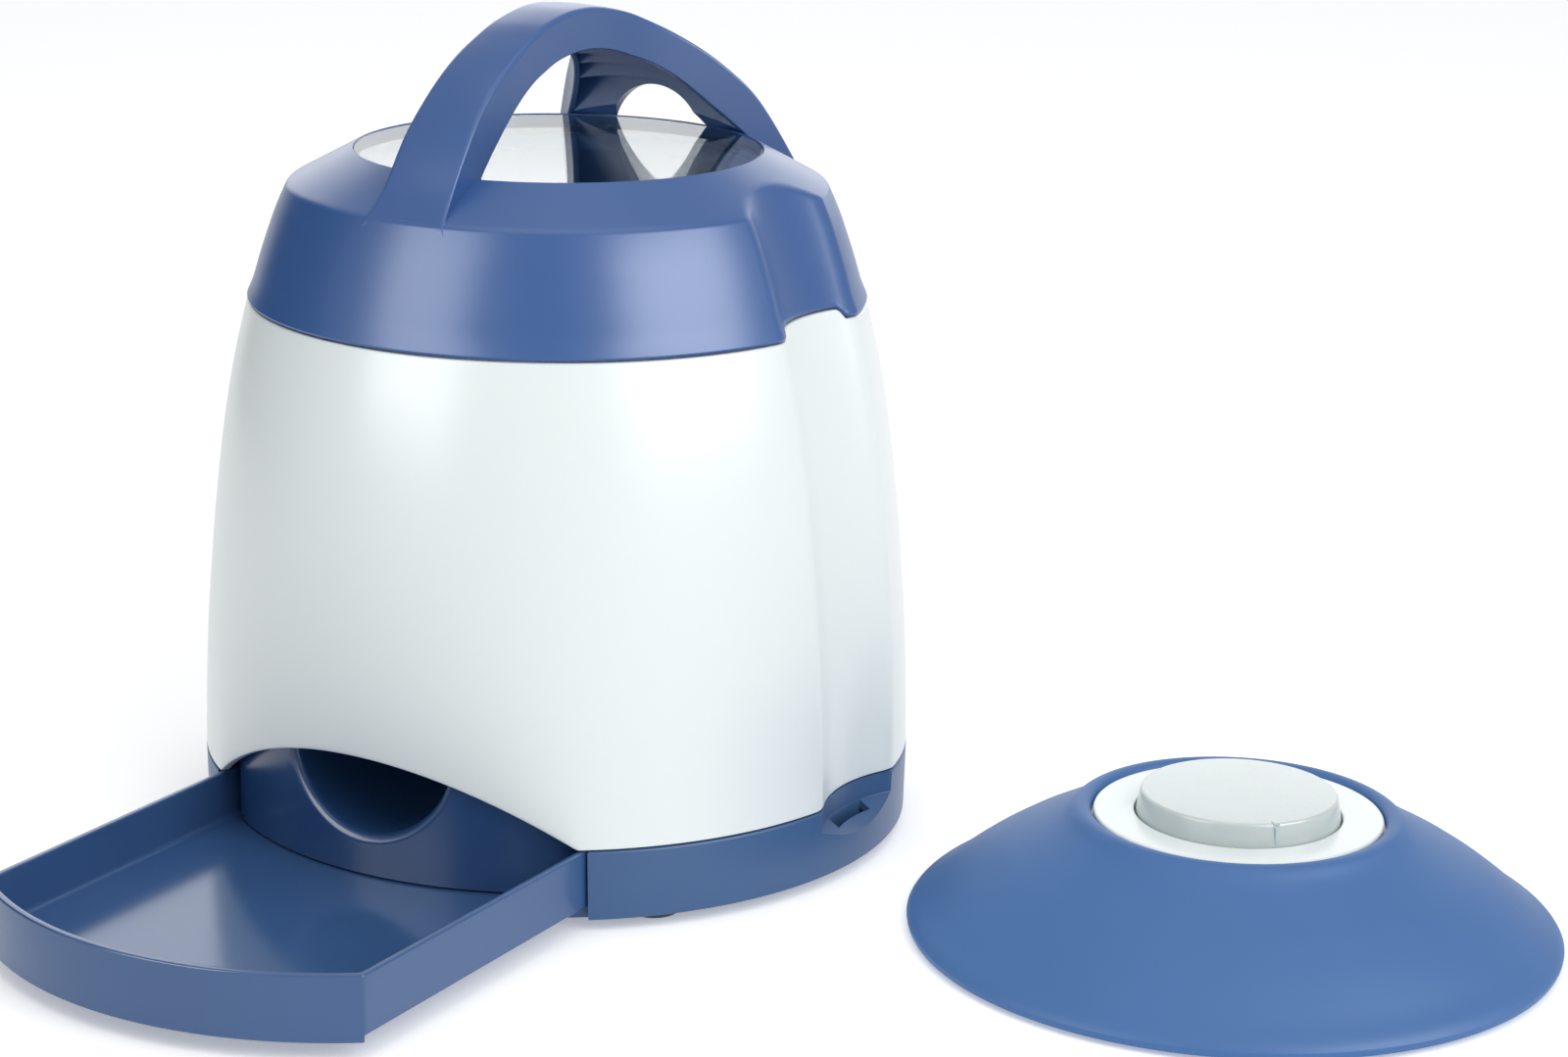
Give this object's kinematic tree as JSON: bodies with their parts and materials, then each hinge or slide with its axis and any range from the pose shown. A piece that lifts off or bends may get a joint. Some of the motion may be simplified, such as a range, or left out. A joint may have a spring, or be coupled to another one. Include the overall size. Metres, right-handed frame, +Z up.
{
  "type": "dog puzzle game",
  "caption": "Treat feeder with a carry-handle lid, food bin, motor-driven dosing rotor and pull-out tray, and a separate push buzzer that a dog presses.",
  "frame": {"origin": "feeder's vertical axis where it meets the floor", "axes": "+Z up, -Y towards the tray, +X towards the buzzer"},
  "size_m": [0.3931, 0.2979, 0.2318],
  "materials": {
    "base_blue": "satin moulded blue plastic",
    "body_white": "satin moulded white plastic",
    "panel_blue": "dark blue moulded plastic",
    "tray_blue": "satin moulded blue plastic",
    "lid_blue": "satin moulded blue plastic",
    "window_clear": "clear polycarbonate",
    "inner_white": "matt white moulding",
    "rotor_grey": "matt grey moulding",
    "gear_natural": "natural gear plastic",
    "screw_steel": "zinc plated steel",
    "motor_steel": "drawn steel",
    "board_green": "lacquered circuit board",
    "parts_black": "black moulding",
    "cell_wrap": "printed shrink sleeve left plain",
    "contact_nickel": "nickel plated",
    "foot_rubber": "soft grey rubber",
    "skirt_blue": "soft blue elastomer",
    "button_frost": "frosted translucent plastic",
    "light_clear": "clear lamp resin"
  },
  "bodies": {
    "feeder": {"base_shell": "base_blue", "base_feet": "foot_rubber", "body_shell": "body_white", "outlet_panel": "panel_blue", "chute": "panel_blue", "rotor_housing": "inner_white", "rotor_pin": "screw_steel", "idler_pin": "screw_steel", "motor_can": "motor_steel", "motor_bracket": "motor_steel", "motor_screws": "screw_steel", "bracket_screws": "screw_steel", "hopper": "inner_white", "feeder_batteries": "cell_wrap", "feeder_contacts": "contact_nickel", "switch_housing": "parts_black", "control_board": "board_green", "board_parts": "parts_black", "board_screws": "screw_steel", "post_screws": "screw_steel", "body_screws": "screw_steel"},
    "lid": {"lid_cover": "lid_blue", "lid_window": "window_clear", "window_ring": "lid_blue", "ring_screws": "screw_steel"},
    "tray": {"tray": "tray_blue"},
    "rotor": {"dosing_rotor": "rotor_grey"},
    "idler": {"idler_gear": "gear_natural"},
    "motor": {"motor_pinion": "gear_natural", "motor_shaft": "screw_steel"},
    "power_switch": {"switch_slider": "parts_black"},
    "battery_door": {"feeder_battery_cover": "base_blue"},
    "buzzer": {"buzzer_cover": "skirt_blue", "buzzer_housing": "body_white", "buzzer_base": "body_white", "button_spring": "contact_nickel", "buzzer_board": "board_green", "tact_switch": "parts_black", "buzzer_lights": "light_clear", "buzzer_board_screws": "screw_steel", "buzzer_batteries": "cell_wrap", "buzzer_contacts": "contact_nickel", "buzzer_feet": "foot_rubber", "buzzer_screws": "screw_steel"},
    "button": {"button_cap": "button_frost", "button_carrier": "inner_white"},
    "buzzer_door": {"buzzer_battery_cover": "body_white"}
  },
  "joints": [
    {"name": "lid_lift", "type": "slide", "parent": "feeder", "child": "lid", "axis": [0, 0, 1], "range_m": [0, 0.25]},
    {"name": "tray_slide", "type": "slide", "parent": "feeder", "child": "tray", "axis": [0, 1, 0], "range_m": [0, 0.097]},
    {"name": "rotor_spin", "type": "hinge", "parent": "feeder", "child": "rotor", "pos_m": [0, 0, 0.098], "axis": [0, 0, 1], "continuous": true},
    {"name": "idler_spin", "type": "hinge", "parent": "feeder", "child": "idler", "pos_m": [0, 0.069, 0.09], "axis": [0, 0, 1], "continuous": true},
    {"name": "motor_spin", "type": "hinge", "parent": "feeder", "child": "motor", "pos_m": [0.01804, 0.06243, 0.09], "axis": [0, 0, 1], "continuous": true},
    {"name": "switch_slide", "type": "slide", "parent": "feeder", "child": "power_switch", "axis": [1, 0, 0], "range_m": [0, 0.003]},
    {"name": "battery_door_slide", "type": "slide", "parent": "feeder", "child": "battery_door", "axis": [0, -1, 0], "range_m": [0, 0.008]},
    {"name": "buzzer_lift", "type": "slide", "parent": "feeder", "child": "buzzer", "axis": [0, 0, 1], "range_m": [0, 0.1]},
    {"name": "button_press", "type": "slide", "parent": "buzzer", "child": "button", "axis": [0, 0, -1], "range_m": [0, 0.003], "stiffness_N_per_m": 900, "springref_m": -0.0008, "deforming": ["button_spring"]},
    {"name": "buzzer_door_slide", "type": "slide", "parent": "buzzer", "child": "buzzer_door", "axis": [0, -1, 0], "range_m": [0, 0.006]}
  ],
  "couplings": [
    {"joint": "idler_spin", "follows": "rotor_spin", "ratio": -6.6667},
    {"joint": "motor_spin", "follows": "rotor_spin", "ratio": 20}
  ]
}
